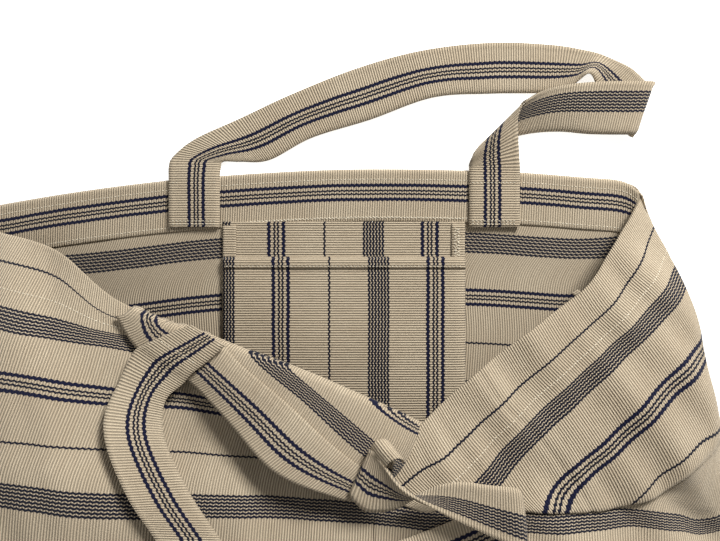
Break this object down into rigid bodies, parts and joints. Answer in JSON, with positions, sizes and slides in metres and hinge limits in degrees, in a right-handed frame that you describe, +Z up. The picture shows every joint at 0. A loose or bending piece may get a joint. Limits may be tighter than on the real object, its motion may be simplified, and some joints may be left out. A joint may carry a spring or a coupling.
{
  "type": "cloth sack",
  "caption": "Wide striped cotton sack lying on its back, front rim turned out over the mouth, two shoulder straps and a pocket hanging inside.",
  "frame": {"origin": "middle of the back rim, on the surface that the sack lies on", "axes": "+X to the right along the rim, +Y out of the mouth, +Z up from the surface through the back wall to the front wall"},
  "size_m": [0.7871, 0.6633, 0.1267],
  "materials": {
    "ribbed_cotton": "undyed ribbed cotton with navy stripes",
    "sewing_thread": "twisted cotton thread"
  },
  "bodies": {
    "sack": {"back_panel": "ribbed_cotton", "back_panel_edges": "ribbed_cotton", "front_panel": "ribbed_cotton", "front_panel_lower": "ribbed_cotton", "front_panel_drape": "ribbed_cotton", "front_panel_turnout": "ribbed_cotton", "back_hem": "ribbed_cotton", "front_hem": "ribbed_cotton", "left_side_seam": "ribbed_cotton", "right_side_seam": "ribbed_cotton", "bottom_seam": "ribbed_cotton", "pocket_top_stitching": "sewing_thread", "back_strap_left_tab": "ribbed_cotton", "back_strap_right_tab": "ribbed_cotton", "front_strap_left_tab": "ribbed_cotton", "front_strap_right_tab": "ribbed_cotton", "back_hem_stitching": "sewing_thread", "front_hem_stitching": "sewing_thread", "back_tab_stitching": "sewing_thread", "front_tab_stitching": "sewing_thread"},
    "pocket": {"pocket_back": "ribbed_cotton", "pocket_front": "ribbed_cotton", "pocket_hem": "ribbed_cotton", "pocket_seam": "ribbed_cotton", "pocket_mouth_stitching": "sewing_thread"},
    "back_strap_loop": {"back_strap": "ribbed_cotton"},
    "front_strap_loop": {"front_strap": "ribbed_cotton"}
  },
  "joints": [
    {"name": "back_strap_lift", "type": "hinge", "parent": "sack", "child": "back_strap_loop", "pos_m": [0, 0, 0.0045], "axis": [1, 0, 0], "range_deg": [0, 120]},
    {"name": "front_strap_lift", "type": "hinge", "parent": "sack", "child": "front_strap_loop", "pos_m": [-0.155, -0.186, 0.072], "axis": [-0.9611, 0.276, 0], "range_deg": [0, 60]},
    {"name": "pocket_swing", "type": "hinge", "parent": "sack", "child": "pocket", "pos_m": [0, -0.0525, 0.003], "axis": [-1, 0, 0], "range_deg": [0, 8]}
  ]
}
